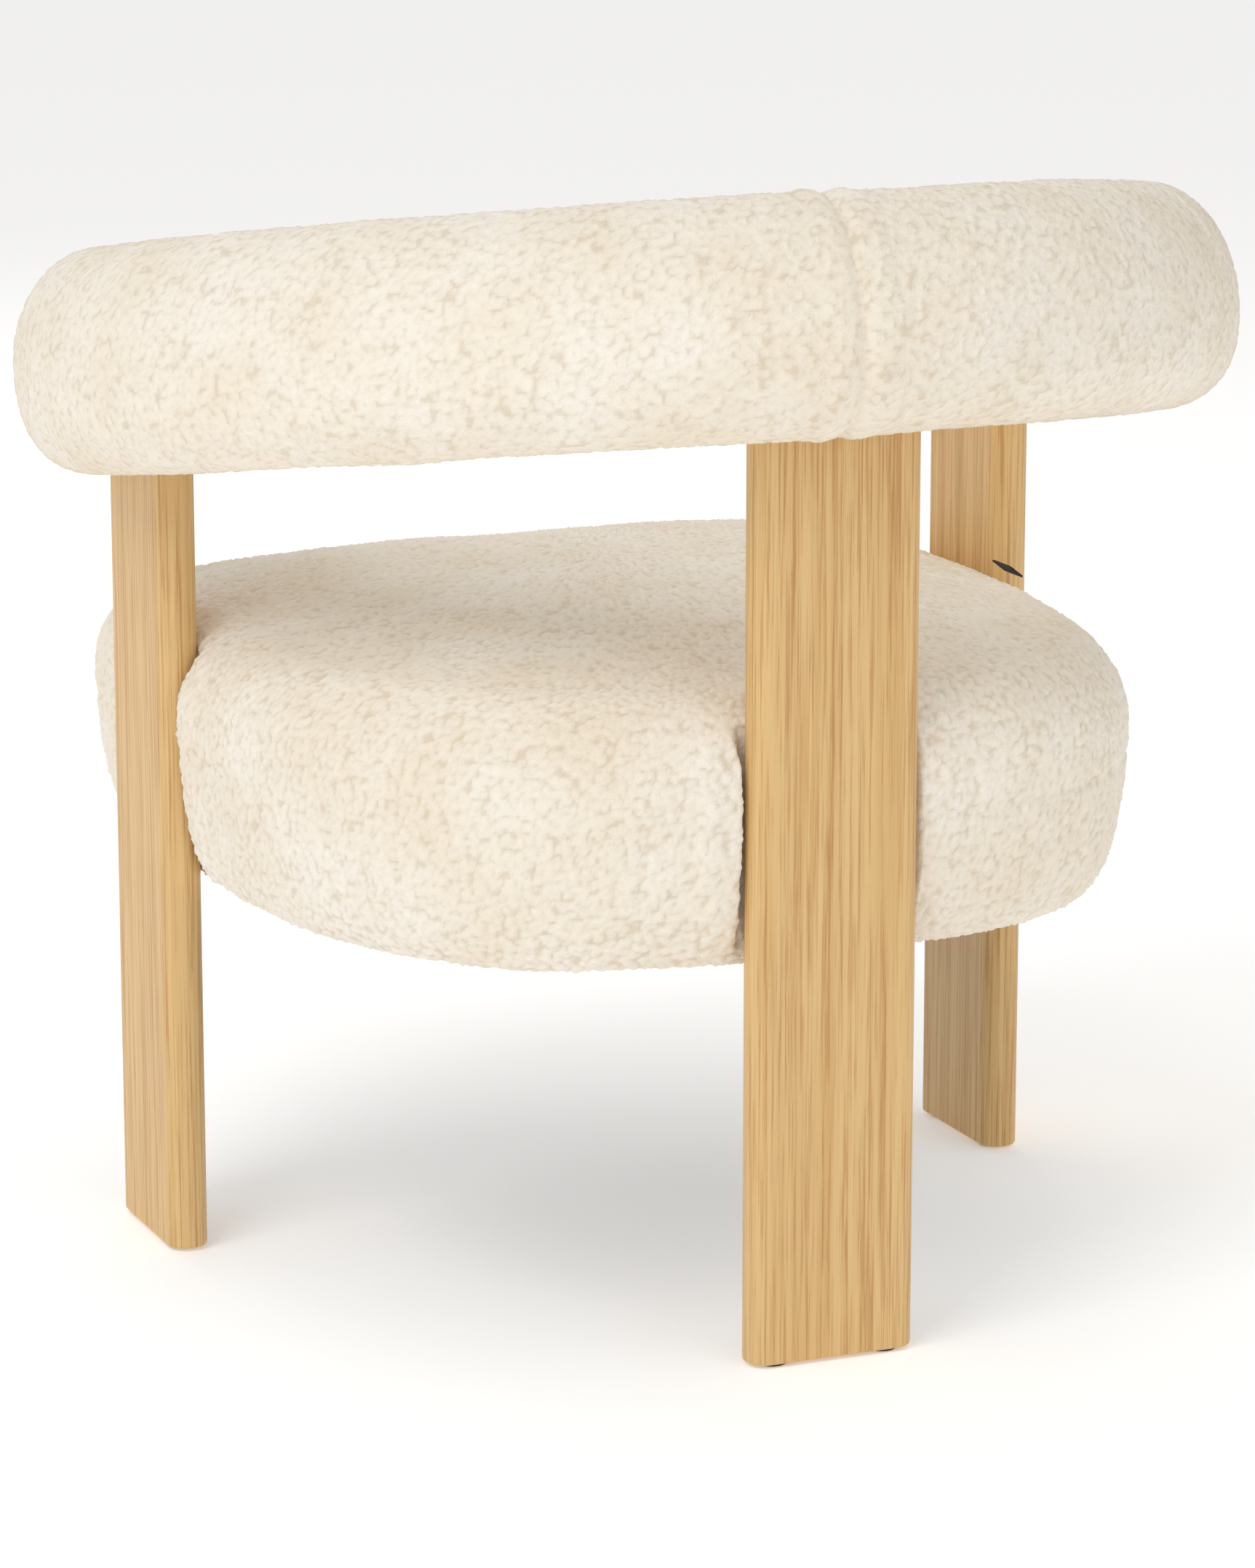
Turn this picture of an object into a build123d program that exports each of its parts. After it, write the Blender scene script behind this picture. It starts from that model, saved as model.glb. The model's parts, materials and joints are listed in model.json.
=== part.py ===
from build123d import *
from math import asin, cos, degrees, hypot, radians, sin, tan
import os

os.makedirs("parts", exist_ok=True)

# Upholstered tub armchair: three plank legs carry a C-shaped bolster and a padded seat between them.
# +Z up, the chair faces -Y, the origin is on the floor under the middle of the chair.

# ---- driving dimensions (mm) ----
overall_height = 700.0
overall_depth = 680.0

glide_height = 2.0
plank_width = 107.0
plank_thickness = 26.0
plank_edge_radius = 11.75
plank_foot_radius = 2.0
side_plank_x = 286.0
side_plank_set_forward = 348.0

back_radius = 312.0
arm_radius = 366.5
arm_start_angle = 55.0
ring_half_angle = 114.6
ring_tilt = 9.28
bolster_half_thickness = 56.7
bolster_rise = 74.2
bolster_drop = 67.1
bolster_top_radius = 48.0
bolster_under_radius = 55.0
cover_thickness = 3.0
seam_x = 16.0

core_half_width = 44.0
core_bottom = -36.0
core_top = -14.0

seat_half_width = 291.5
seat_behind_plank_front = 17.1
seat_rear_corner = 235.0
frame_rear_corner = 282.0
seat_front_corner = 112.0
seat_bottom_z = 242.0
seat_top_z = 414.0
seat_top_roll = 58.0
seat_bottom_roll = 18.0
seat_seam_z = 326.0

fit_gap = 0.3
rail_bottom_z = seat_bottom_z + cover_thickness + fit_gap
rail_top_z = 322.0
rail_outer_inset = 22.0
rail_thickness = 24.0
front_joint_y = -235.0
rear_joint_y = 145.0

spring_wire = 3.6
spring_width = 36.0
spring_pitch = 30.0
spring_xs = (-96.0, -32.0, 32.0, 96.0)
deck_bottom_z = 328.2
deck_top_z = 332.2

plank_bolt_spacing = 56.0
plank_bolt_z = 286.0
insert_radius = 6.0
insert_length = 15.0
bolt_radius = 4.0
dowel_radius = 5.0
dowel_offset = 36.0
top_screw_offset = 15.0

# ---- the tilted ring that the backrest follows ----
tilt = radians(ring_tilt)
across = Vector(1, 0, 0)
rearward = Vector(0, cos(tilt), sin(tilt))
ring_up = Vector(0, -sin(tilt), cos(tilt))
plank_to_ring = 11.9
bolster_rear_reach = 58.0
ring_rear_y = overall_depth / 2 - bolster_rear_reach
ring_rear_z = overall_height - hypot(bolster_rise * cos(tilt), bolster_half_thickness * sin(tilt))
ring_rear_point = Vector(0, ring_rear_y, ring_rear_z)

rear_plank_back_y = ring_rear_y - plank_to_ring
rear_plank_y = rear_plank_back_y - plank_thickness / 2
side_plank_y = rear_plank_back_y - side_plank_set_forward - plank_width / 2
seat_rear_y = rear_plank_back_y - plank_thickness + seat_behind_plank_front
seat_front_y = -overall_depth / 2


def outward_at(angle):
    """Direction away from the ring's inside, at an angle from the rear."""
    return across * sin(radians(angle)) + rearward * cos(radians(angle))


def arc_centre(angle):
    """Centre of the arc that the ring follows at an angle: one round the back, one along each arm."""
    back_centre = ring_rear_point - rearward * back_radius
    if abs(angle) <= arm_start_angle:
        return back_centre
    side = 1 if angle > 0 else -1
    return back_centre + outward_at(side * arm_start_angle) * (back_radius - arm_radius)


def ring_plane(angle):
    """Section plane at an angle from the rear: x outward, y up the ring's axis, z on along the ring."""
    radius = back_radius if abs(angle) <= arm_start_angle else arm_radius
    outward = outward_at(angle)
    origin = arc_centre(angle) + outward * radius
    return Plane(origin=origin, x_dir=outward, z_dir=outward.cross(ring_up))


def ring_level(height):
    """The tilted plane at a height above the ring's own middle plane."""
    return Plane(origin=ring_rear_point + ring_up * height, x_dir=across, z_dir=ring_up)


def oval_quarter(reach, end_radius, inset, sign):
    """A quarter of the section as two tangent arcs: a flat one at the side, a rounder one at the end."""
    width = bolster_half_thickness
    side_radius = (width**2 + (reach - end_radius) ** 2 - end_radius**2) / (2 * (width - end_radius))
    side_centre = Vector(width - side_radius, 0)
    end_centre = Vector(0, reach - end_radius)
    joint = side_centre + (end_centre - side_centre).normalized() * (side_radius - inset)
    meeting = (joint.X, sign * joint.Y)
    TangentArc((width - inset, 0), meeting, tangent=(0, sign))
    TangentArc((0, sign * (reach - inset)), meeting, tangent=(1, 0))


def loaf_section(plane, inset, half=False):
    """The bolster's section, tall and rounded above and a little flatter underneath."""
    with BuildSketch(plane) as section:
        with BuildLine():
            oval_quarter(bolster_rise, bolster_top_radius, inset, 1)
            oval_quarter(bolster_drop, bolster_under_radius, inset, -1)
            Line((0, bolster_rise - inset), (0, inset - bolster_drop))
        make_face()
        if not half:
            mirror(about=Plane.YZ)
    return section


def ring_body(draw_section, start, end):
    """A section carried round the ring from one angle to another, arc by arc."""
    joints = [-arm_start_angle, arm_start_angle]
    stops = [start] + [angle for angle in joints if start < angle < end] + [end]
    with BuildPart() as body:
        for low, high in zip(stops, stops[1:]):
            middle = (low + high) / 2
            centre = arc_centre(middle)
            radius = back_radius if abs(middle) <= arm_start_angle else arm_radius
            outward = outward_at(low)
            plane = Plane(origin=centre + outward * radius, x_dir=outward, z_dir=outward.cross(ring_up))
            revolve(draw_section(plane).sketch, axis=Axis(centre, ring_up * -1), revolution_arc=high - low)
    return body.part


def bolster_body(inset, start, end):
    """The bolster between two angles, with a domed end wherever it reaches the end of the ring."""
    with BuildPart() as body:
        add(ring_body(lambda plane: loaf_section(plane, inset), start, end))
        if start <= -ring_half_angle:
            section = loaf_section(ring_plane(start), inset, half=True)
            revolve(section.sketch, axis=Axis(ring_plane(start).origin, ring_up), revolution_arc=180)
        if end >= ring_half_angle:
            section = loaf_section(ring_plane(end), inset, half=True)
            revolve(section.sketch, axis=Axis(ring_plane(end).origin, ring_up * -1), revolution_arc=180)
    return body.part


def plank_prism(spot, grow, bottom, top, side):
    """A plank's outline grown all round, as a prism, for the pockets and slots that planks pass through."""
    size = (plank_thickness + 2 * grow, plank_width + 2 * grow)
    if not side:
        size = (size[1], size[0])
    with BuildPart() as prism:
        with BuildSketch(Plane.XY.offset(bottom)):
            with Locations(spot):
                RectangleRounded(size[0], size[1], plank_edge_radius + grow)
        extrude(amount=top - bottom)
    return prism.part


plank_spots = {
    "rear": ((0.0, rear_plank_y), False),
    "left": ((side_plank_x, side_plank_y), True),
    "right": ((-side_plank_x, side_plank_y), True),
}


def all_planks(grow, bottom, top):
    """All three plank prisms, to cut from a soft part."""
    return [plank_prism(spot, grow, bottom, top, side) for spot, side in plank_spots.values()]


def plank_sockets(grow):
    """The pockets that the planks' tops fill in the bolster's underside."""
    sockets = []
    for prism in all_planks(grow, 400, 700):
        sockets.append(prism.split(ring_level(core_bottom + 0.5), keep=Keep.BOTTOM))
    return sockets


def top_fixing_points(spot, side, offset):
    """Two points on the underside of the core, either side of a plank's middle."""
    x, y = spot
    pair = []
    for sign in (-1, 1):
        px = x if side else x + sign * offset
        py = y + sign * offset if side else y
        pair.append((px, py, ring_rear_z + (py - ring_rear_y) * tan(tilt) + core_bottom / cos(tilt)))
    return pair


def upright_pins(points, radius, low, high):
    """Round pins standing straight up, from low to high measured from the core's underside."""
    with BuildPart() as pins:
        for x, y, z in points:
            with BuildSketch(Plane.XY.offset(z + low)):
                with Locations((x, y)):
                    Circle(radius)
            extrude(amount=high - low)
    return pins.part


def bolt_planes(spot, side):
    """Planes at the plank's inner face, z pointing into the seat, one for each bolt."""
    x, y = spot
    planes = []
    for sign in (-1, 1):
        shift = sign * plank_bolt_spacing / 2
        if side:
            inward = -1 if x > 0 else 1
            origin = (x + inward * plank_thickness / 2, y + shift, plank_bolt_z)
            planes.append(Plane(origin=origin, x_dir=(0, 1, 0), z_dir=(inward, 0, 0)))
        else:
            origin = (x + shift, y - plank_thickness / 2, plank_bolt_z)
            planes.append(Plane(origin=origin, x_dir=(1, 0, 0), z_dir=(0, -1, 0)))
    return planes


def bolt_cylinders(planes, radius, start, end):
    """Cylinders along the bolt axes, from start to end measured inward from the plank's face."""
    with BuildPart() as cylinders:
        for plane in planes:
            with BuildSketch(plane.offset(start)):
                Circle(radius)
            extrude(amount=end - start)
    return cylinders.part


# ---- plank legs ----
glide_radius = 9.0
glide_spacing = 72.0
nail_radius = 1.2
nail_length = 16.0
dowel_length = 50.0
dowel_in_core = 18.0
screw_radius = 3.5
screw_length = 92.0
screw_head_radius = 6.5
screw_head_height = 5.0


def glide_points(spot, side):
    """Middles of the two glides under a plank."""
    x, y = spot
    half = glide_spacing / 2
    return [(x, y - half), (x, y + half)] if side else [(x - half, y), (x + half, y)]


def plank_leg(spot, side):
    """A plank with eased edges, its top cut to the slope of the ring and bored for its fixings."""
    size = (plank_thickness, plank_width) if side else (plank_width, plank_thickness)
    with BuildPart() as leg:
        with BuildSketch(Plane.XY.offset(glide_height)):
            with Locations(spot):
                RectangleRounded(size[0], size[1], plank_edge_radius)
        extrude(amount=overall_height)
        fillet(leg.faces().sort_by(Axis.Z)[0].edges(), plank_foot_radius)
        split(bisect_by=ring_level(core_bottom), keep=Keep.BOTTOM)
        add(bolt_cylinders(bolt_planes(spot, side), insert_radius, -insert_length - 1, 0), mode=Mode.SUBTRACT)
        dowels = top_fixing_points(spot, side, dowel_offset)
        add(upright_pins(dowels, dowel_radius + 0.05, dowel_in_core - dowel_length - 1, 5), mode=Mode.SUBTRACT)
        screws = top_fixing_points(spot, side, top_screw_offset)
        add(upright_pins(screws, screw_radius + 0.05, -screw_length, 5), mode=Mode.SUBTRACT)
        with BuildSketch(Plane.XY.offset(glide_height)):
            with Locations(*glide_points(spot, side)):
                Circle(nail_radius + 0.05)
        extrude(amount=nail_length, mode=Mode.SUBTRACT)
    return leg


rear_leg = plank_leg(*plank_spots["rear"])
left_leg = plank_leg(*plank_spots["left"])
right_leg = plank_leg(*plank_spots["right"])
for name, leg in (("rear_leg", rear_leg), ("left_leg", left_leg), ("right_leg", right_leg)):
    leg.part.label = name
    export_step(leg.part, "parts/" + name + ".step")

all_glide_points = []
all_bolt_planes = []
all_dowel_points = []
all_screw_points = []
for spot, side in plank_spots.values():
    all_glide_points += glide_points(spot, side)
    all_bolt_planes += bolt_planes(spot, side)
    all_dowel_points += top_fixing_points(spot, side, dowel_offset)
    all_screw_points += top_fixing_points(spot, side, top_screw_offset)

# Nylon glides, two under each plank, each held by one nail.
with BuildPart() as leg_glides:
    with BuildSketch():
        with Locations(*all_glide_points):
            Circle(glide_radius)
            Circle(nail_radius + 0.05, mode=Mode.SUBTRACT)
    extrude(amount=glide_height)
leg_glides.part.label = "leg_glides"
export_step(leg_glides.part, "parts/leg_glides.step")

with BuildPart() as glide_nails:
    with BuildSketch(Plane.XY.offset(0.4)):
        with Locations(*all_glide_points):
            Circle(nail_radius)
    extrude(amount=nail_length)
glide_nails.part.label = "glide_nails"
export_step(glide_nails.part, "parts/glide_nails.step")

# Threaded inserts in the planks' inner faces, and the bolts that hold the seat from inside.
leg_inserts = bolt_cylinders(all_bolt_planes, insert_radius - 0.05, -insert_length, -0.5)
leg_inserts = leg_inserts - bolt_cylinders(all_bolt_planes, bolt_radius + 0.05, -insert_length - 1, 1)
leg_inserts.label = "leg_inserts"
export_step(leg_inserts, "parts/leg_inserts.step")

# ---- backrest: shaped core, foam, under pad, cover in two halves ----
core_depth = core_top - core_bottom
core_middle = (core_top + core_bottom) / 2


def board_section(plane, grow, radius):
    """The core board's section, grown all round."""
    with BuildSketch(plane) as section:
        with Locations((0, core_middle)):
            RectangleRounded(2 * (core_half_width + grow), core_depth + 2 * grow, radius)
    return section


screw_top = core_depth - 1.5
with BuildPart() as backrest_core:
    add(ring_body(lambda plane: board_section(plane, 0, 6), -ring_half_angle, ring_half_angle))
    add(upright_pins(all_dowel_points, dowel_radius + 0.05, -5, dowel_in_core + 1), mode=Mode.SUBTRACT)
    add(upright_pins(all_screw_points, screw_radius + 0.05, -5, core_depth + 5), mode=Mode.SUBTRACT)
    head_seat = screw_top - screw_head_height - 0.05
    add(upright_pins(all_screw_points, screw_head_radius + 0.1, head_seat, core_depth + 5), mode=Mode.SUBTRACT)
backrest_core.part.label = "backrest_core"
export_step(backrest_core.part, "parts/backrest_core.step")

backrest_dowels = upright_pins(all_dowel_points, dowel_radius, dowel_in_core - dowel_length, dowel_in_core)
backrest_dowels.label = "backrest_dowels"
export_step(backrest_dowels, "parts/backrest_dowels.step")

screw_shanks = upright_pins(all_screw_points, screw_radius, screw_top - screw_length, screw_top - 1)
screw_heads = upright_pins(all_screw_points, screw_head_radius, screw_top - screw_head_height, screw_top)
hex_sockets = upright_pins(all_screw_points, 2.5, screw_top - 3, screw_top + 1)
backrest_screws = (screw_shanks + screw_heads) - hex_sockets
backrest_screws.label = "backrest_screws"
export_step(backrest_screws, "parts/backrest_screws.step")

def arm_range(side, start, reach):
    """The angles from a start near the rear to the end of one arm, in rising order."""
    return (start, reach) if side > 0 else (-reach, start)


# Foam over the core and a pad under it, each glued up from a left and a right half.
middle_gap_angle = 0.03
half_paddings = []
for side in (1, -1):
    half_lining = bolster_body(cover_thickness + fit_gap, *arm_range(side, side * middle_gap_angle, ring_half_angle))
    space_range = arm_range(side, -side, ring_half_angle + 0.1)
    core_space = ring_body(lambda plane: board_section(plane, fit_gap, 6), *space_range)
    half_paddings.append(half_lining - core_space)

with BuildPart() as backrest_foam:
    add(half_paddings)
    split(bisect_by=ring_level(core_bottom), keep=Keep.TOP)
backrest_foam.part.label = "backrest_foam"
export_step(backrest_foam.part, "parts/backrest_foam.step")

with BuildPart() as backrest_under_pad:
    add(half_paddings)
    split(bisect_by=ring_level(core_bottom - 2 * fit_gap), keep=Keep.BOTTOM)
    add(plank_sockets(fit_gap), mode=Mode.SUBTRACT)
backrest_under_pad.part.label = "backrest_under_pad"
export_step(backrest_under_pad.part, "parts/backrest_under_pad.step")

# The fleece cover in two halves that meet at the seam, open underneath where the planks go in.
seam_angle = degrees(asin(seam_x / back_radius))
seam_gap_angle = 0.02
for side, name in ((1, "backrest_cover_left"), (-1, "backrest_cover_right")):
    outside = bolster_body(0, *arm_range(side, seam_angle + side * seam_gap_angle, ring_half_angle))
    inside = bolster_body(cover_thickness, *arm_range(side, seam_angle - side, ring_half_angle))
    cover = outside - inside
    for socket in plank_sockets(fit_gap):
        cover = cover - socket
    cover.label = name
    export_step(cover, "parts/" + name + ".step")


# ---- seat ----
def outline_slab(inset, bottom, top, top_roll=0.0, bottom_roll=0.0, rear_corner=seat_rear_corner):
    """A slab with the seat's plan, squarer at the front than at the rear, its rims rolled over if asked."""
    x = seat_half_width - inset
    front = seat_front_y + inset
    rear = seat_rear_y - inset
    corners = [(x, front), (x, rear), (-x, rear), (-x, front)]
    front_radius = seat_front_corner - inset
    rear_radius = rear_corner - inset
    radii = [front_radius, rear_radius, rear_radius, front_radius]
    with BuildPart() as slab:
        with BuildSketch(Plane.XY.offset(bottom)):
            with BuildLine():
                FilletPolyline(*corners, radius=radii, close=True)
            make_face()
        extrude(amount=top - bottom)
        if top_roll:
            fillet(slab.faces().sort_by(Axis.Z)[-1].edges(), top_roll)
        if bottom_roll:
            fillet(slab.faces().sort_by(Axis.Z)[0].edges(), bottom_roll)
    return slab.part


def frame_slab(inset, bottom, top):
    """A slab with the plan of the wooden frame, whose rear corners are rounder than the cover's."""
    return outline_slab(inset, bottom, top, rear_corner=frame_rear_corner)


def seat_body(inset):
    """The whole padded seat, notched round the planks."""
    bottom = seat_bottom_z + inset
    body = outline_slab(inset, bottom, seat_top_z - inset, seat_top_roll - inset, seat_bottom_roll - inset)
    notch_grow = inset + fit_gap
    for prism in all_planks(notch_grow, 0, 600):
        body = body - prism
    return body


outer_seat = seat_body(0)
inner_seat = seat_body(cover_thickness)
padding_seat = seat_body(cover_thickness + fit_gap)

# Hardwood rails, cut from one ring so that their ends butt together, with flats for the washers.
washer_radius = 10.0
washer_thickness = 1.6
washer_start = 26.0
rail_ring = frame_slab(rail_outer_inset, rail_bottom_z, rail_top_z)
rail_ring = rail_ring - frame_slab(rail_outer_inset + rail_thickness, rail_bottom_z - 1, rail_top_z + 1)
for prism in all_planks(cover_thickness + fit_gap, 0, 600):
    rail_ring = rail_ring - prism
rail_ring = rail_ring - bolt_cylinders(all_bolt_planes, bolt_radius + 0.5, 0, 60)
rail_ring = rail_ring - bolt_cylinders(all_bolt_planes, washer_radius + 0.5, washer_start - 0.05, 60)


def rail_piece(low, high, side=0):
    """The part of the rail ring between two heights in Y, on one side if asked."""
    width = 700.0
    x = side * width / 2
    middle = (low + high) / 2
    with BuildPart() as piece:
        with BuildSketch(Plane.XY.offset(rail_bottom_z - 5)):
            with Locations((x, middle)):
                Rectangle(width, high - low)
        extrude(amount=rail_top_z - rail_bottom_z + 10)
    return rail_ring & piece.part


seat_rails = {
    "front_rail": rail_piece(-400, front_joint_y),
    "left_rail": rail_piece(front_joint_y + fit_gap / 3, rear_joint_y - fit_gap / 3, 1),
    "right_rail": rail_piece(front_joint_y + fit_gap / 3, rear_joint_y - fit_gap / 3, -1),
    "rear_rail": rail_piece(rear_joint_y, 400),
}

# A cross rail ties the side rails together, between the bolts of the side planks.
inner_half_width = seat_half_width - rail_outer_inset - rail_thickness
cross_rail_height = 45.0
cross_rail_z = rail_bottom_z + 2
with BuildPart() as cross_rail:
    with BuildSketch(Plane.XY.offset(cross_rail_z)):
        with Locations((0, side_plank_y)):
            Rectangle(2 * inner_half_width + 20, 26)
    extrude(amount=cross_rail_height)
    add(frame_slab(rail_outer_inset + rail_thickness + 0.1, 200, 400), mode=Mode.INTERSECT)
cross_rail.part.label = "cross_rail"
export_step(cross_rail.part, "parts/cross_rail.step")

# Triangular blocks glued into the four corners.
block_leg = 112.0
block_height = 50.0
block_corners = ((250.0, -298.0, -1), (225.0, 196.0, 1))
with BuildPart() as corner_block_blanks:
    with BuildSketch(Plane.XY.offset(rail_bottom_z + 4)):
        for x_sign in (-1, 1):
            for x, y, y_sign in block_corners:
                with BuildLine():
                    corner = (x_sign * x, y)
                    near = (x_sign * x, y - y_sign * block_leg)
                    far = (x_sign * (x - block_leg), y)
                    Polyline(corner, near, far, close=True)
                make_face()
    extrude(amount=block_height)
corner_blocks = corner_block_blanks.part & frame_slab(rail_outer_inset + rail_thickness + 0.1, 200, 400)
corner_blocks.label = "corner_blocks"
export_step(corner_blocks, "parts/corner_blocks.step")

for name, rail in seat_rails.items():
    rail.label = name
    export_step(rail, "parts/" + name + ".step")

# Bolts with washers, from inside the rails into the planks' inserts.
bolt_head_radius = 6.5
bolt_head_height = 5.0
seat_washers = bolt_cylinders(all_bolt_planes, washer_radius, washer_start, washer_start + washer_thickness)
seat_washers = seat_washers - bolt_cylinders(all_bolt_planes, bolt_radius + 0.3, 0, 60)
seat_washers.label = "seat_washers"
export_step(seat_washers, "parts/seat_washers.step")

head_start = washer_start + washer_thickness
seat_bolts = bolt_cylinders(all_bolt_planes, bolt_radius, -insert_length + 2, head_start + 1)
seat_bolts = seat_bolts + bolt_cylinders(all_bolt_planes, bolt_head_radius, head_start, head_start + bolt_head_height)
seat_bolts = seat_bolts - bolt_cylinders(all_bolt_planes, 2.5, head_start + 2, head_start + bolt_head_height + 1)
seat_bolts.label = "seat_bolts"
export_step(seat_bolts, "parts/seat_bolts.step")


# Flat S-shaped springs from the rear rail to the front rail, hooked into a clip at each end.
def rail_line(x, rear):
    """Y of the middle of the front or rear rail's top at x, on its straight run or round its corner."""
    inset = rail_outer_inset + rail_thickness / 2
    radius = (frame_rear_corner if rear else seat_front_corner) - inset
    past_straight = max(0.0, abs(x) - (seat_half_width - inset - radius))
    fall = radius - (radius**2 - past_straight**2) ** 0.5
    return seat_rear_y - inset - fall if rear else seat_front_y + inset + fall


spring_z = rail_top_z + 1.2 + spring_wire / 2
spring_bend = 9.0


def spring_route(x):
    """Square waves with rounded bends between the two rails."""
    front, rear = rail_line(x, False), rail_line(x, True)
    waves = round((rear - front) / (2 * spring_pitch))
    pitch = (rear - front) / (2 * waves)
    points = [(x - spring_width / 2, rear), (x + spring_width / 2, rear)]
    for turn in range(1, 2 * waves + 1):
        side = 1 if turn % 2 else -1
        y = rear - turn * pitch
        points += [(x + side * spring_width / 2, y), (x - side * spring_width / 2, y)]
    return points


with BuildPart() as seat_springs:
    for x in spring_xs:
        route = spring_route(x)
        with BuildLine(Plane.XY.offset(spring_z)) as wire_line:
            FilletPolyline(*route, radius=spring_bend)
        start = Vector(route[0][0], route[0][1], spring_z)
        with BuildSketch(Plane(origin=start, x_dir=(0, 1, 0), z_dir=(1, 0, 0))):
            Circle(spring_wire / 2)
        sweep(path=wire_line.wires()[0])
seat_springs.part.label = "seat_springs"
export_step(seat_springs.part, "parts/seat_springs.step")

clip_length = 18.0
clip_gauge = 1.2
with BuildPart() as spring_clips:
    for x in spring_xs:
        for rear in (False, True):
            y = rail_line(x, rear)
            out = 1 if rear else -1
            inner = spring_wire / 2 + 0.1
            outer = inner + clip_gauge
            with BuildSketch(Plane(origin=(x - clip_length / 2, y, spring_z), x_dir=(0, 1, 0), z_dir=(1, 0, 0))):
                with Locations((out, 0)):
                    Rectangle(2 * outer + 2, 2 * outer - 0.4)
                with Locations((-out * 1.4, 0)):
                    Rectangle(2 * inner + 3, 2 * inner, mode=Mode.SUBTRACT)
            extrude(amount=clip_length)
spring_clips.part.label = "spring_clips"
export_step(spring_clips.part, "parts/spring_clips.step")

# Felt deck over the springs, crowned foam over the deck, softer padding round the rails.
felt_inset = rail_outer_inset + 2
deck_felt = frame_slab(felt_inset, deck_bottom_z, deck_top_z)
for prism in all_planks(cover_thickness + 2 * fit_gap, 0, 600):
    deck_felt = deck_felt - prism
deck_felt.label = "deck_felt"
export_step(deck_felt, "parts/deck_felt.step")

with BuildPart() as seat_foam:
    add(padding_seat)
    split(bisect_by=Plane.XY.offset(deck_top_z + fit_gap), keep=Keep.TOP)
seat_foam.part.label = "seat_foam"
export_step(seat_foam.part, "parts/seat_foam.step")

frame_space = frame_slab(rail_outer_inset - fit_gap, 200, rail_top_z + 1)
felt_space = frame_slab(felt_inset - fit_gap, 200, 600)
padding_ring = (padding_seat - frame_space - felt_space) & outline_slab(-20, rail_bottom_z, deck_top_z)
padding_ring = padding_ring - bolt_cylinders(all_bolt_planes, bolt_radius + 0.5, 0, 60)


def padding_piece(x_low, x_high, y_low, y_high):
    """The part of the padding inside a plan rectangle."""
    with BuildPart() as piece:
        with BuildSketch(Plane.XY.offset(200)):
            with Locations(((x_low + x_high) / 2, (y_low + y_high) / 2)):
                Rectangle(x_high - x_low, y_high - y_low)
        extrude(amount=200)
    return padding_ring & piece.part


seat_paddings = {
    "front_padding": padding_piece(-400, 400, -400, side_plank_y),
    "left_padding": padding_piece(fit_gap / 2, 400, side_plank_y + fit_gap, 400),
    "right_padding": padding_piece(-400, -fit_gap / 2, side_plank_y + fit_gap, 400),
}
for name, padding in seat_paddings.items():
    padding.label = name
    export_step(padding, "parts/" + name + ".step")

# Fabric: a crowned top panel sewn to a side band, which turns under the rails.
with BuildPart() as seat_top_cover:
    add(outer_seat)
    add(inner_seat, mode=Mode.SUBTRACT)
    split(bisect_by=Plane.XY.offset(seat_seam_z), keep=Keep.TOP)
seat_top_cover.part.label = "seat_top_cover"
export_step(seat_top_cover.part, "parts/seat_top_cover.step")

turn_under = 30.0
with BuildPart() as seat_band_cover:
    add(outer_seat)
    add(inner_seat, mode=Mode.SUBTRACT)
    split(bisect_by=Plane.XY.offset(seat_seam_z - 0.1), keep=Keep.BOTTOM)
    add(frame_slab(rail_outer_inset + turn_under, 200, 300), mode=Mode.SUBTRACT)
    add(bolt_cylinders(all_bolt_planes, bolt_radius + 0.5, 0, 60), mode=Mode.SUBTRACT)
seat_band_cover.part.label = "seat_band_cover"
export_step(seat_band_cover.part, "parts/seat_band_cover.step")

# Dust cloth stapled under the turned fabric.
cloth_thickness = 0.8
cloth_inset = 32.0
cloth_top_z = seat_bottom_z - 0.1
dust_cloth = frame_slab(cloth_inset, cloth_top_z - cloth_thickness, cloth_top_z)
dust_cloth.label = "dust_cloth"
export_step(dust_cloth, "parts/dust_cloth.step")

staple_crown = 10.0
staple_gauge = 0.7
staple_inset = cloth_inset + 6
staple_spacing = 48.0
staple_x = seat_half_width - staple_inset
staple_rear_y = seat_rear_y - staple_inset
staple_front_y = seat_front_y + staple_inset
with BuildPart() as cloth_staples:
    with BuildSketch(Plane.XY.offset(cloth_top_z - cloth_thickness - staple_gauge)):
        for side in (-1, 1):
            with Locations((side * staple_x, (seat_front_y + seat_front_corner + seat_rear_y - seat_rear_corner) / 2)):
                with GridLocations(0, staple_spacing, 1, 6):
                    Rectangle(staple_gauge, staple_crown)
        with Locations((0, staple_front_y)):
            with GridLocations(staple_spacing, 0, 8, 1):
                Rectangle(staple_crown, staple_gauge)
        with Locations((0, staple_rear_y)):
            with GridLocations(staple_spacing, 0, 3, 1):
                Rectangle(staple_crown, staple_gauge)
    extrude(amount=staple_gauge)
cloth_staples.part.label = "cloth_staples"
export_step(cloth_staples.part, "parts/cloth_staples.step")

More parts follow.
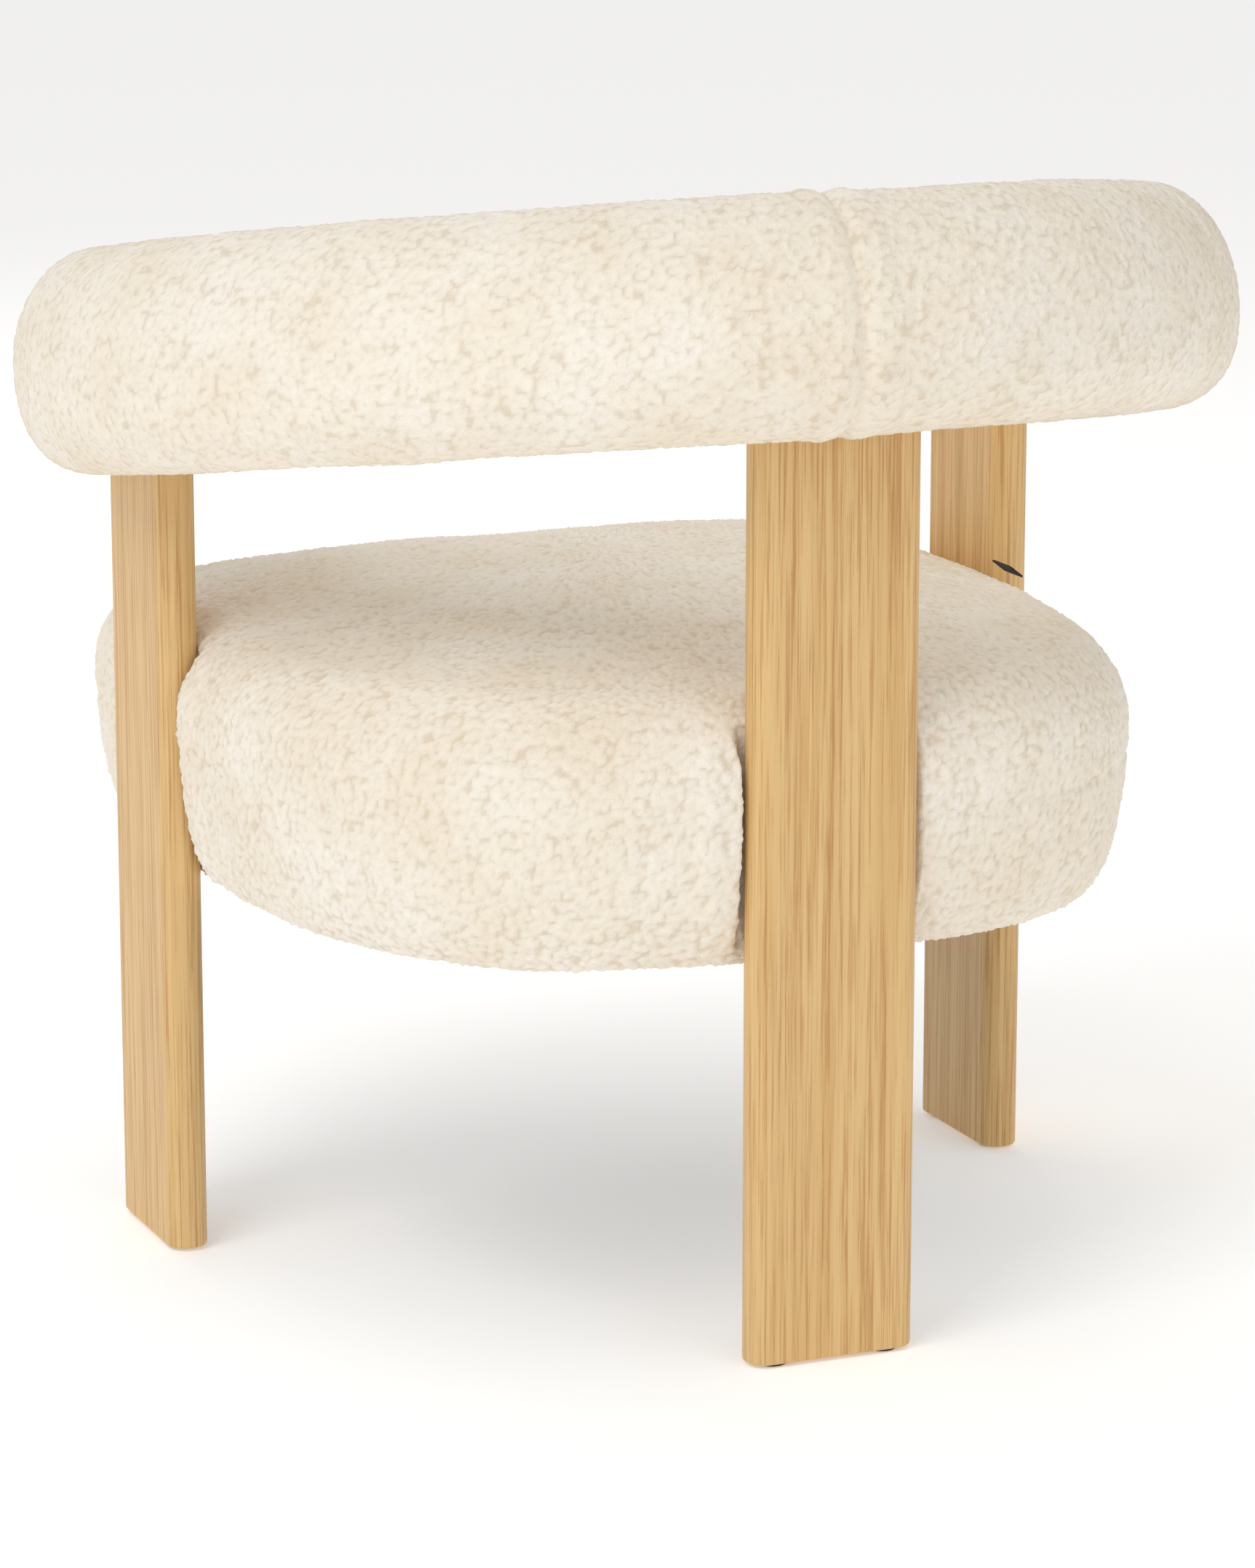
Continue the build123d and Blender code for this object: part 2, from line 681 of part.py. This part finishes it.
# A small blank woven label, sewn where the seat rolls over beside the right plank.
tag_length = 26.0
tag_width = 12.0
tag_thickness = 1.2
tag_roll = radians(52)
tag_y = side_plank_y + plank_width / 2 + 24
tag_normal = Vector(-cos(tag_roll), 0, sin(tag_roll))
tag_x = -(seat_half_width - seat_top_roll * (1 - cos(tag_roll)))
tag_z = seat_top_z - seat_top_roll * (1 - sin(tag_roll))
tag_origin = Vector(tag_x, tag_y, tag_z) + tag_normal * 0.6
with BuildPart() as cover_tag:
    with BuildSketch(Plane(origin=tag_origin, x_dir=(0, 1, 0), z_dir=tag_normal)):
        RectangleRounded(tag_length, tag_width, 1)
    extrude(amount=tag_thickness)
cover_tag.part.label = "cover_tag"
export_step(cover_tag.part, "parts/cover_tag.step")
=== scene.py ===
import bpy
import json
import math
import numpy as np
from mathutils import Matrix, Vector


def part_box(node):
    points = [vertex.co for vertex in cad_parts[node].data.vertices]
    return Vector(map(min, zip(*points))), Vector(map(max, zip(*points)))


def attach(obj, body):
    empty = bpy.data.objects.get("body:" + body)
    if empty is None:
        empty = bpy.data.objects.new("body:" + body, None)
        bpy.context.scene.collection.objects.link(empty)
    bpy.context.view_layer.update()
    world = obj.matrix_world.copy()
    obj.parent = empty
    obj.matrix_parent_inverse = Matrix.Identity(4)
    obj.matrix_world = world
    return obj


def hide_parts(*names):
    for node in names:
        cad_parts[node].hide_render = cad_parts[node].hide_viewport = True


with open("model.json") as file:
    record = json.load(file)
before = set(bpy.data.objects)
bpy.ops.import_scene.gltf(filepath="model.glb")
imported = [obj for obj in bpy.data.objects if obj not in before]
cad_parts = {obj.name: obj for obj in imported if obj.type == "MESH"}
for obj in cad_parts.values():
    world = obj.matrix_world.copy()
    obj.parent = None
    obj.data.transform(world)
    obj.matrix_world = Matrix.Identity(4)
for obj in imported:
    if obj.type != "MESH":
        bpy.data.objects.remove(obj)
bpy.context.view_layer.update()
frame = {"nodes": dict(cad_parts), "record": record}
nodes = frame["nodes"]
print("frame loaded")


def linear(hexColour):
    channels = [int(hexColour[i:i + 2], 16) / 255 for i in (1, 3, 5)]
    return [c / 12.92 if c <= 0.04045 else ((c + 0.055) / 1.055) ** 2.4 for c in channels] + [1.0]


def smooth(value):
    value = np.clip(value, 0.0, 1.0)
    return value * value * (3 - 2 * value)


# camera: long lens, behind the sitter's left shoulder, looking a little down
camera = {
    "place": (1.3278, 3.1072, 1.0791), "yaw": 22.816, "pitch": 13.07, "lens": 126.98,
    "sensor": 36.0, "aspect": 1725 / 2156, "farthest": 50,
}


def makeCamera(c):
    data = bpy.data.cameras.new("camera")
    data.sensor_fit = "VERTICAL"
    data.sensor_height = c["sensor"]
    data.sensor_width = c["sensor"] * c["aspect"]
    data.lens = c["lens"]
    data.clip_end = c["farthest"]
    view = bpy.data.objects.new("camera", data)
    view.location = c["place"]
    view.rotation_euler = (math.radians(90 - c["pitch"]), 0, math.radians(180 - c["yaw"]))
    bpy.context.scene.collection.objects.link(view)
    bpy.context.scene.camera = view


makeCamera(camera)


# materials
def add(tree, kind, settings=None, links=None):
    node = tree.nodes.new(kind)
    for name, value in (settings or {}).items():
        if isinstance(name, str) and hasattr(node, name):
            setattr(node, name, value)
        else:
            node.inputs[name].default_value = value
    for name, source in (links or {}).items():
        tree.links.new(source, node.inputs[name])
    return node


def newMaterial(name):
    material = bpy.data.materials.new(name)
    material.use_nodes = True
    tree = material.node_tree
    return material, tree, tree.nodes["Principled BSDF"]


def ramp(tree, source, stops):
    node = add(tree, "ShaderNodeValToRGB", links={"Fac": source})
    elements = node.color_ramp.elements
    while len(elements) < len(stops):
        elements.new(0.5)
    for element, (position, colour) in zip(elements, stops):
        element.position = position
        element.color = linear(colour)
    return node.outputs["Color"]


def creamFleece():
    # knitted sherpa fleece, its pile tumbled into curls: matte, a faint bright rim, and painted
    # shade that darkens the colour in the cracks between the curls
    material, tree, shader = newMaterial("creamBoucleFleece")
    pile = add(tree, "ShaderNodeAttribute", {"attribute_name": "pile"}).outputs["Fac"]
    place = add(tree, "ShaderNodeTexCoord").outputs["Object"]
    # fibres about 1.6 mm apart
    fibre = {"Scale": 620.0, "Detail": 3.0, "Roughness": 0.65}
    curl = add(tree, "ShaderNodeTexNoise", fibre, {"Vector": place})
    patch = add(tree, "ShaderNodeTexNoise", {"Scale": 14.0, "Detail": 2.0}, {"Vector": place})
    # painted shade: the colour is darkest where the pile is lowest, in the cracks between curls
    depth = ramp(tree, pile, [(0.0, "#E4D9C7"), (0.25, "#F1E9DC"), (0.5, "#F6EFE3"), (1.0, "#F9F3E8")])
    tone = ramp(tree, patch.outputs["Fac"], [(0.3, "#F6EEE0"), (0.7, "#FFFFFF")])
    mixed = add(tree, "ShaderNodeMix", {"data_type": "RGBA", "blend_type": "MULTIPLY"})
    mixed.inputs["Factor"].default_value = 0.6
    tree.links.new(depth, mixed.inputs["A"])
    tree.links.new(tone, mixed.inputs["B"])
    tree.links.new(mixed.outputs["Result"], shader.inputs["Base Color"])
    relief = {"Strength": 0.55, "Distance": 0.0012}
    bump = add(tree, "ShaderNodeBump", relief, {"Height": curl.outputs["Fac"]})
    tree.links.new(bump.outputs["Normal"], shader.inputs["Normal"])
    shader.inputs["Roughness"].default_value = 0.95
    shader.inputs["Specular IOR Level"].default_value = 0.2
    shader.inputs["Sheen Weight"].default_value = 0.1
    shader.inputs["Sheen Roughness"].default_value = 0.5
    shader.inputs["Sheen Tint"].default_value = linear("#FFF8EC")
    return material


def paleOak(name, dark, light, streak):
    # pale oak under satin lacquer: soft bands about 14 mm wide and pores 1.6 mm apart, both
    # drawn out along the plank
    material, tree, shader = newMaterial(name)
    place = add(tree, "ShaderNodeTexCoord").outputs["Object"]
    wide = add(tree, "ShaderNodeMapping", {"Scale": (70.0, 70.0, 1.6)}, {"Vector": place})
    fine = add(tree, "ShaderNodeMapping", {"Scale": (620.0, 620.0, 9.0)}, {"Vector": place})
    bands = {"Scale": 1.0, "Detail": 4.0, "Distortion": 0.6}
    band = add(tree, "ShaderNodeTexNoise", bands, {"Vector": wide.outputs[0]})
    grain = {"Scale": 1.0, "Detail": 3.0, "Roughness": 0.7}
    pore = add(tree, "ShaderNodeTexNoise", grain, {"Vector": fine.outputs[0]})
    base = ramp(tree, band.outputs["Fac"], [(0.3, dark), (0.5, light), (0.72, dark)])
    pores = ramp(tree, pore.outputs["Fac"], [(0.36, streak), (0.52, "#FFFFFF")])
    mixed = add(tree, "ShaderNodeMix", {"data_type": "RGBA", "blend_type": "MULTIPLY"})
    mixed.inputs["Factor"].default_value = 0.55
    tree.links.new(base, mixed.inputs["A"])
    tree.links.new(pores, mixed.inputs["B"])
    tree.links.new(mixed.outputs["Result"], shader.inputs["Base Color"])
    rough = add(tree, "ShaderNodeMapRange", {"To Min": 0.5, "To Max": 0.38}, {"Value": pore.outputs["Fac"]})
    tree.links.new(rough.outputs["Result"], shader.inputs["Roughness"])
    relief = {"Strength": 0.12, "Distance": 0.0003}
    bump = add(tree, "ShaderNodeBump", relief, {"Height": pore.outputs["Fac"]})
    tree.links.new(bump.outputs["Normal"], shader.inputs["Normal"])
    return material


def plainFinish(name, dark, light, scale, rough, metallic, stretch=(1.0, 1.0, 1.0)):
    # fine mottling between two close tones, for small or hidden pieces
    material, tree, shader = newMaterial(name)
    place = add(tree, "ShaderNodeTexCoord").outputs["Object"]
    mapped = add(tree, "ShaderNodeMapping", {"Scale": stretch}, {"Vector": place})
    grain = add(tree, "ShaderNodeTexNoise", {"Scale": scale, "Detail": 3.0}, {"Vector": mapped.outputs[0]})
    colour = ramp(tree, grain.outputs["Fac"], [(0.35, dark), (0.65, light)])
    tree.links.new(colour, shader.inputs["Base Color"])
    relief = {"Strength": 0.3, "Distance": 0.0003}
    bump = add(tree, "ShaderNodeBump", relief, {"Height": grain.outputs["Fac"]})
    tree.links.new(bump.outputs["Normal"], shader.inputs["Normal"])
    shader.inputs["Roughness"].default_value = rough
    shader.inputs["Metallic"].default_value = metallic
    return material


fleece = creamFleece()
finishes = {
    "pale_wood": paleOak("lacqueredPaleOak", "#D0A668", "#DFBB80", "#C29354"),
    "frame_wood": paleOak("sawnFrameBeech", "#C49A66", "#D4AE7C", "#A87C4C"),
    "foam": plainFinish("openCellFoam", "#DCD3B8", "#EFE8D2", 900.0, 0.95, 0.0),
    "cream_fleece": fleece,
    "dark_felt": plainFinish("needledFelt", "#16161A", "#2A2A2E", 1500.0, 0.95, 0.0),
    "zinc_steel": plainFinish("zincPlatedSteel", "#A9ADB0", "#C6C9CB", 300.0, 0.38, 1.0),
    "nylon": plainFinish("mouldedNylon", "#1C1714", "#2B2420", 400.0, 0.55, 0.0),
    "woven_tag": plainFinish("blankWovenRibbon", "#17171A", "#34343A", 1.0, 0.8, 0.0, (200.0, 2600.0, 200.0)),
}
slots = {part["node"]: part["material_slot"] for part in frame["record"]["subparts"]}
for name, node in nodes.items():
    node.data.materials.clear()
    node.data.materials.append(finishes[slots[name]])
print("materials made")


# fleece pile: a Geometry Nodes tree that lifts curls off a smooth cover
def fleeceTree():
    tree = bpy.data.node_groups.new("fleecePile", "GeometryNodeTree")
    face = tree.interface
    face.new_socket("Geometry", in_out="INPUT", socket_type="NodeSocketGeometry")
    sizes = (
        ("Curl Size", 0.0042), ("Pile Height", 0.0018), ("Fold Size", 0.11),
        ("Fold Height", 0.002), ("Seed", 3.0),
    )
    for label, value in sizes:
        socket = face.new_socket(label, in_out="INPUT", socket_type="NodeSocketFloat")
        socket.default_value = value
    face.new_socket("Material", in_out="INPUT", socket_type="NodeSocketMaterial")
    face.new_socket("Geometry", in_out="OUTPUT", socket_type="NodeSocketGeometry")
    given = tree.nodes.new("NodeGroupInput")
    shown = tree.nodes.new("NodeGroupOutput")

    def maths(operation, a, b=None):
        node = add(tree, "ShaderNodeMath", {"operation": operation})
        for index, value in enumerate((a, b)):
            if isinstance(value, (int, float)):
                node.inputs[index].default_value = value
            elif value is not None:
                tree.links.new(value, node.inputs[index])
        return node.outputs[0]

    start = add(tree, "ShaderNodeVectorMath", {"operation": "ADD"})
    tree.links.new(add(tree, "GeometryNodeInputPosition").outputs[0], start.inputs[0])
    tree.links.new(given.outputs["Seed"], start.inputs[1])
    place = start.outputs[0]
    curlScale = maths("DIVIDE", 1.0, given.outputs["Curl Size"])
    wanderScale = maths("MULTIPLY", curlScale, 0.6)
    wander = add(tree, "ShaderNodeTexNoise", {"Detail": 1.0}, {"Vector": place, "Scale": wanderScale})
    push = add(tree, "ShaderNodeVectorMath", {"operation": "SCALE"})
    tree.links.new(wander.outputs["Color"], push.inputs[0])
    tree.links.new(maths("MULTIPLY", given.outputs["Curl Size"], 1.3), push.inputs["Scale"])
    bent = add(tree, "ShaderNodeVectorMath", {"operation": "ADD"})
    tree.links.new(place, bent.inputs[0])
    tree.links.new(push.outputs[0], bent.inputs[1])
    rounded = {"voronoi_dimensions": "3D", "feature": "SMOOTH_F1", "Smoothness": 0.3}
    cells = add(tree, "ShaderNodeTexVoronoi", rounded)
    tree.links.new(bent.outputs[0], cells.inputs["Vector"])
    tree.links.new(curlScale, cells.inputs["Scale"])
    curl = add(tree, "ShaderNodeMapRange", {"From Min": 0.1, "From Max": 0.8, "To Min": 1.0, "To Max": 0.0})
    tree.links.new(cells.outputs["Distance"], curl.inputs["Value"])
    tuftScale = maths("MULTIPLY", curlScale, 0.3)
    tuft = add(tree, "ShaderNodeTexNoise", {"Detail": 2.0}, {"Vector": place, "Scale": tuftScale})
    pile = maths("MULTIPLY", curl.outputs[0], maths("ADD", tuft.outputs["Fac"], 0.5))
    foldScale = maths("DIVIDE", 1.0, given.outputs["Fold Size"])
    fold = add(tree, "ShaderNodeTexNoise", {"Detail": 1.5}, {"Vector": place, "Scale": foldScale})
    foldLift = maths("MULTIPLY", maths("SUBTRACT", fold.outputs["Fac"], 0.5), given.outputs["Fold Height"])
    pileLift = maths("MULTIPLY", maths("SUBTRACT", pile, 0.4), given.outputs["Pile Height"])
    lift = maths("ADD", pileLift, foldLift)
    along = add(tree, "ShaderNodeVectorMath", {"operation": "SCALE"})
    tree.links.new(add(tree, "GeometryNodeInputNormal").outputs[0], along.inputs[0])
    tree.links.new(lift, along.inputs["Scale"])
    stored = add(tree, "GeometryNodeStoreNamedAttribute", {"data_type": "FLOAT", "domain": "POINT"})
    stored.inputs["Name"].default_value = "pile"
    tree.links.new(given.outputs["Geometry"], stored.inputs["Geometry"])
    tree.links.new(pile, stored.inputs["Value"])
    moved = add(tree, "GeometryNodeSetPosition")
    tree.links.new(stored.outputs[0], moved.inputs["Geometry"])
    tree.links.new(along.outputs[0], moved.inputs["Offset"])
    real = add(tree, "GeometryNodeRealizeInstances", links={"Geometry": moved.outputs[0]})
    painted = add(tree, "GeometryNodeSetMaterial", links={"Geometry": real.outputs[0]})
    tree.links.new(given.outputs["Material"], painted.inputs["Material"])
    tree.links.new(painted.outputs[0], shown.inputs["Geometry"])
    return tree


pileTree = fleeceTree()


def meshPiece(name, points, faces):
    mesh = bpy.data.meshes.new(name)
    mesh.from_pydata(points.tolist(), [], faces)
    mesh.update()
    mesh.shade_smooth()
    piece = bpy.data.objects.new(name, mesh)
    bpy.context.scene.collection.objects.link(piece)
    return piece


def growFleece(piece, sizes):
    modifier = piece.modifiers.new("pile", "NODES")
    modifier.node_group = pileTree
    sockets = {s.name: s.identifier for s in pileTree.interface.items_tree if s.in_out == "INPUT"}
    for label, value in sizes.items():
        modifier[sockets[label]] = value
    modifier[sockets["Material"]] = fleece
    bpy.context.view_layer.update()
    made = piece.evaluated_get(bpy.context.evaluated_depsgraph_get())
    grown = bpy.data.meshes.new_from_object(made)
    piece.modifiers.clear()
    piece.data = grown
    grown.shade_smooth()
    return piece


# rings of equal length joined into a closed skin, with one vertex before the first ring and one
# after the last
def ringFaces(ringCount, around):
    ring = np.arange(around)
    following = (ring + 1) % around
    faces = []
    for row in range(ringCount - 1):
        low, high = 1 + row * around, 1 + (row + 1) * around
        quads = np.column_stack([low + ring, low + following, high + following, high + ring])
        faces += quads.tolist()
    last = 1 + ringCount * around
    faces += [[0, 1 + b, 1 + a] for a, b in zip(ring.tolist(), following.tolist())]
    top = 1 + (ringCount - 1) * around
    faces += [[last, top + a, top + b] for a, b in zip(ring.tolist(), following.tolist())]
    return faces


planks = []
for name, side in (("rear_leg", 0), ("left_leg", 1), ("right_leg", -1)):
    low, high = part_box(name)
    planks.append({"low": Vector(low), "high": Vector(high), "side": side})


# how far a point is outside a plank's outline in plan
def plankGap(points, plank):
    middle = (plank["low"] + plank["high"]) / 2
    half = (plank["high"] - plank["low"]) / 2
    away = np.abs(points[:, :2] - np.array(middle[:2])) - np.array(half[:2])
    outside = np.hypot(np.maximum(away[:, 0], 0), np.maximum(away[:, 1], 0))
    return outside + np.minimum(np.maximum(away[:, 0], away[:, 1]), 0)


# seat: one crowned cushion, pinched where it wraps round the planks
seat = {
    "halfWidth": 0.2915, "widestY": -0.1136, "rearY": 0.2612, "frontY": -0.3385,
    "rearPower": 2.97, "frontPower": 5.08,
    "bottomZ": 0.242, "widestZ": 0.345, "edgeZ": 0.4016, "crownZ": 0.4283,
    "bottomInset": 0.025, "edgeInset": 0.055, "step": 0.0019,
    "girth": 2.05, "underRun": 0.125, "sideRun": 0.09, "crownRun": 0.24,
    "seamZ": 0.326, "seamDepth": 0.0014, "seamWidth": 0.0035,
    "pinch": 0.005, "behindPlank": 0.0012,
    "swell": 0.0022, "swellAway": 0.022, "swellWidth": 0.012,
}


def seatOutline(c, t, inset, scale):
    across, along = np.cos(t), np.sin(t)
    power = np.where(along >= 0, c["rearPower"], c["frontPower"])
    depth = np.where(along >= 0, c["rearY"] - c["widestY"], c["widestY"] - c["frontY"])
    x = (c["halfWidth"] - inset) * np.sign(across) * np.abs(across) ** (2 / power)
    y = (depth - inset) * np.sign(along) * np.abs(along) ** (2 / power)
    return x * scale, c["widestY"] + y * scale


def evenAngles(c, count):
    t = np.linspace(0, 2 * np.pi, 20001)
    x, y = seatOutline(c, t, 0.0, 1.0)
    run = np.concatenate([[0], np.cumsum(np.hypot(np.diff(x), np.diff(y)))])
    return np.interp(np.linspace(0, run[-1], count + 1)[:-1], run, t)


def seatLevels(c):
    levels = [(c["bottomInset"], c["bottomZ"], scale) for scale in (0.25, 0.5, 0.75, 0.9, 0.97, 0.99)]
    for t in np.linspace(0, np.pi / 2, int(c["underRun"] / c["step"])):
        z = c["bottomZ"] + (c["widestZ"] - c["bottomZ"]) * (1 - np.cos(t))
        levels.append((c["bottomInset"] * (1 - np.sin(t)), z, 1.0))
    for t in np.linspace(0, np.pi / 2, int(c["sideRun"] / c["step"]))[1:]:
        rise = (c["edgeZ"] - c["widestZ"]) * np.sin(t)
        levels.append((c["edgeInset"] * (1 - np.cos(t)), c["widestZ"] + rise, 1.0))
    for scale in np.linspace(1, 0.02, int(c["crownRun"] / c["step"]))[1:]:
        z = c["edgeZ"] + (c["crownZ"] - c["edgeZ"]) * (1 - scale**2)
        levels.append((c["edgeInset"], z, scale))
    return levels


# beside each plank the cushion is held back behind the inner face, then swells out again
def pinchSeat(points, c):
    for plank in planks:
        low, high, side = plank["low"], plank["high"], plank["side"]
        along, out = (1, 0) if side else (0, 1)
        sign = -1 if side < 0 else 1
        inner = (low[0] if side > 0 else -high[0]) if side else low[1]
        middle, half = (low[along] + high[along]) / 2, (high[along] - low[along]) / 2
        past = np.abs(points[:, along] - middle) - half
        reach = points[:, out] * sign
        limit = inner - c["behindPlank"]
        hold = 1 - smooth(past / c["pinch"])
        swell = c["swell"] * np.exp(-((past - c["swellAway"]) / c["swellWidth"]) ** 2)
        pulled = reach + (limit - reach) * hold + swell
        points[:, out] = np.where(reach > limit, pulled, reach) * sign
    return points


def makeSeat(c):
    angles = evenAngles(c, int(c["girth"] / c["step"]))
    levels = seatLevels(c)
    rings = []
    for inset, z, scale in levels:
        x, y = seatOutline(c, angles, inset, scale)
        rings.append(np.column_stack([x, y, np.full(len(x), z)]))
    bottom = np.array([[0, c["widestY"], c["bottomZ"]]])
    crown = np.array([[0, c["widestY"], c["crownZ"]]])
    points = np.concatenate([bottom] + rings + [crown])
    centre = np.array([0, c["widestY"]])
    seam = c["seamDepth"] * np.exp(-((points[:, 2] - c["seamZ"]) / c["seamWidth"]) ** 2)
    away = points[:, :2] - centre
    size = np.maximum(np.linalg.norm(away, axis=1), 1e-6)
    points[:, :2] -= away / size[:, None] * seam[:, None]
    points = pinchSeat(points, c)
    piece = meshPiece("seatCover", points, ringFaces(len(levels), len(angles)))
    return growFleece(piece, {"Pile Height": 0.0019, "Fold Height": 0.005, "Seed": 3.0})


seatCover = makeSeat(seat)
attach(seatCover, "root")
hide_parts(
    "seat_top_cover", "seat_band_cover", "seat_foam",
    "front_padding", "left_padding", "right_padding",
)
print("seat made")


# backrest: a bolster bent into a C, falling forward, its ends rounded off
bolster = {
    "backRadius": 0.312, "armRadius": 0.3665, "armStart": 55.0, "halfAngle": 114.6,
    "rearY": 0.282, "rearZ": 0.6262, "tilt": 9.28,
    "half": 0.0555, "rise": 0.0728, "drop": 0.0659, "dropPower": 2.47, "dome": 0.0557,
    "step": 0.0019, "sectionRun": 0.405, "sweepRun": 1.33, "endRun": 0.088,
    "seamX": 0.016, "seamDepth": 0.0025, "seamWidth": 0.003,
    "ridge": 0.0012, "ridgeAway": 0.012, "ridgeWidth": 0.007,
    "ringAngle": -50.0, "ringDepth": 0.003, "ringWidth": 0.004,
    "entryDepth": 0.006, "entryBelow": 0.015, "entryFade": 0.03, "entryReach": 0.006,
}


def bolsterPath(b, angle):
    start = math.radians(b["armStart"])
    size, side = np.abs(angle), np.sign(angle)
    inner = np.minimum(size, start)
    outer = np.maximum(size, start)
    x = b["backRadius"] * np.sin(inner) + b["armRadius"] * (np.sin(outer) - np.sin(start))
    y = -b["backRadius"] * (1 - np.cos(inner)) + b["armRadius"] * (np.cos(outer) - np.cos(start))
    return side * x, y


def bolsterSection(b, count):
    t = np.linspace(0, 2 * np.pi, 8001)
    power = np.where(np.sin(t) < 0, b["dropPower"], 2.0)
    reach = np.where(np.sin(t) < 0, b["drop"], b["rise"])
    x = b["half"] * np.sign(np.cos(t)) * np.abs(np.cos(t)) ** (2 / power)
    y = reach * np.sign(np.sin(t)) * np.abs(np.sin(t)) ** (2 / power)
    run = np.concatenate([[0], np.cumsum(np.hypot(np.diff(x), np.diff(y)))])
    even = np.linspace(0, run[-1], count + 1)[:-1]
    return np.interp(even, run, x), np.interp(even, run, y)


def makeBolster(b):
    lean = math.radians(b["tilt"])
    rearward = np.array([0, math.cos(lean), math.sin(lean)])
    upward = np.array([0, -math.sin(lean), math.cos(lean)])
    across = np.array([1.0, 0, 0])
    rear = np.array([0, b["rearY"], b["rearZ"]])
    sectionX, sectionY = bolsterSection(b, int(b["sectionRun"] / b["step"]))
    end = math.radians(b["halfAngle"])
    capCount = int(b["endRun"] / b["step"])
    stretch = [(-end, float(t)) for t in np.linspace(np.pi / 2, 0, capCount)[1:-1]]
    stretch += [(float(a), 0.0) for a in np.linspace(-end, end, int(b["sweepRun"] / b["step"]))]
    stretch += [(end, float(t)) for t in np.linspace(0, np.pi / 2, capCount)[1:-1]]
    seamAngle = math.asin(b["seamX"] / b["backRadius"])
    ringAngle = math.radians(b["ringAngle"])

    def onPath(angle):
        x, y = bolsterPath(b, np.array(angle))
        outward = across * math.sin(angle) + rearward * math.cos(angle)
        forward = across * math.cos(angle) - rearward * math.sin(angle)
        return rear + across * float(x) + rearward * float(y), outward, forward

    rings = []
    for angle, cap in stretch:
        centre, outward, forward = onPath(angle)
        centre = centre + forward * math.copysign(b["dome"] * math.sin(cap), angle)
        shrink = math.cos(cap)
        seamRun = (angle - seamAngle) * b["backRadius"]
        ringRun = (angle - ringAngle) * b["backRadius"]
        groove = b["seamDepth"] * math.exp(-((seamRun / b["seamWidth"]) ** 2))
        beside = (abs(seamRun) - b["ridgeAway"]) / b["ridgeWidth"]
        groove -= b["ridge"] * math.exp(-(beside ** 2))
        groove += b["ringDepth"] * math.exp(-((ringRun / b["ringWidth"]) ** 2))
        squeeze = shrink * (1 - groove / b["half"])
        flat = np.outer(sectionX, outward) + np.outer(sectionY, upward)
        rings.append(centre + squeeze * flat)
    tips = []
    for sign in (-1, 1):
        centre, outward, forward = onPath(sign * end)
        tips.append(centre + forward * sign * b["dome"])
    points = np.concatenate([tips[:1]] + rings + [tips[1:]])
    # the cover is drawn up into the bolster round each plank
    levelZ = b["rearZ"] + (points[:, 1] - b["rearY"]) * math.tan(lean)
    below = smooth((levelZ - points[:, 2] - b["entryBelow"]) / b["entryFade"])
    for plank in planks:
        gap = plankGap(points, plank)
        points[:, 2] += below * b["entryDepth"] * np.exp(-np.maximum(gap, 0) / b["entryReach"])
    faces = [face[::-1] for face in ringFaces(len(stretch), len(sectionX))]
    piece = meshPiece("bolsterCover", points, faces)
    return growFleece(piece, {"Pile Height": 0.0019, "Fold Height": 0.004, "Seed": 8.0})


bolsterCover = makeBolster(bolster)
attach(bolsterCover, "root")
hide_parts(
    "backrest_cover_left", "backrest_cover_right",
    "backrest_foam", "backrest_under_pad",
)
print("backrest made")


# floor and soft studio light: each lamp's place, width in metres and power in watts
studio = {
    "floorHalf": 14.0, "floorGlow": 0.3, "skyStrength": 0.62, "aim": (0, 0, 0.4),
    "key": ((2.6, 1.6, 3.4), 2.2, 55.0),
    "fill": ((-1.6, 4.0, 2.2), 3.0, 18.0),
    "front": ((0.0, -3.2, 2.6), 3.0, 20.0),
}


def makeStudio(c):
    size = c["floorHalf"]
    corners = [(-size, -size, 0), (size, -size, 0), (size, size, 0), (-size, size, 0)]
    floor = meshPiece("floor", np.array(corners, dtype=float), [[0, 1, 2, 3]])
    material, tree, shader = newMaterial("paleFloor")
    shader.inputs["Base Color"].default_value = linear("#F4F3F1")
    shader.inputs["Roughness"].default_value = 0.9
    shader.inputs["Emission Color"].default_value = linear("#FFFFFF")
    shader.inputs["Emission Strength"].default_value = c["floorGlow"]
    floor.data.materials.append(material)
    for name in ("key", "fill", "front"):
        place, width, power = c[name]
        lamp = bpy.data.lights.new(name, "AREA")
        lamp.size = width
        lamp.energy = power
        holder = bpy.data.objects.new(name, lamp)
        holder.location = place
        toChair = Vector(c["aim"]) - Vector(place)
        holder.rotation_euler = toChair.to_track_quat("-Z", "Y").to_euler()
        bpy.context.scene.collection.objects.link(holder)
    world = bpy.data.worlds.new("studio")
    world.use_nodes = True
    sky = world.node_tree.nodes["Background"]
    sky.inputs["Color"].default_value = linear("#FFFFFF")
    sky.inputs["Strength"].default_value = c["skyStrength"]
    bpy.context.scene.world = world
    bpy.context.scene.view_settings.view_transform = "Standard"


makeStudio(studio)
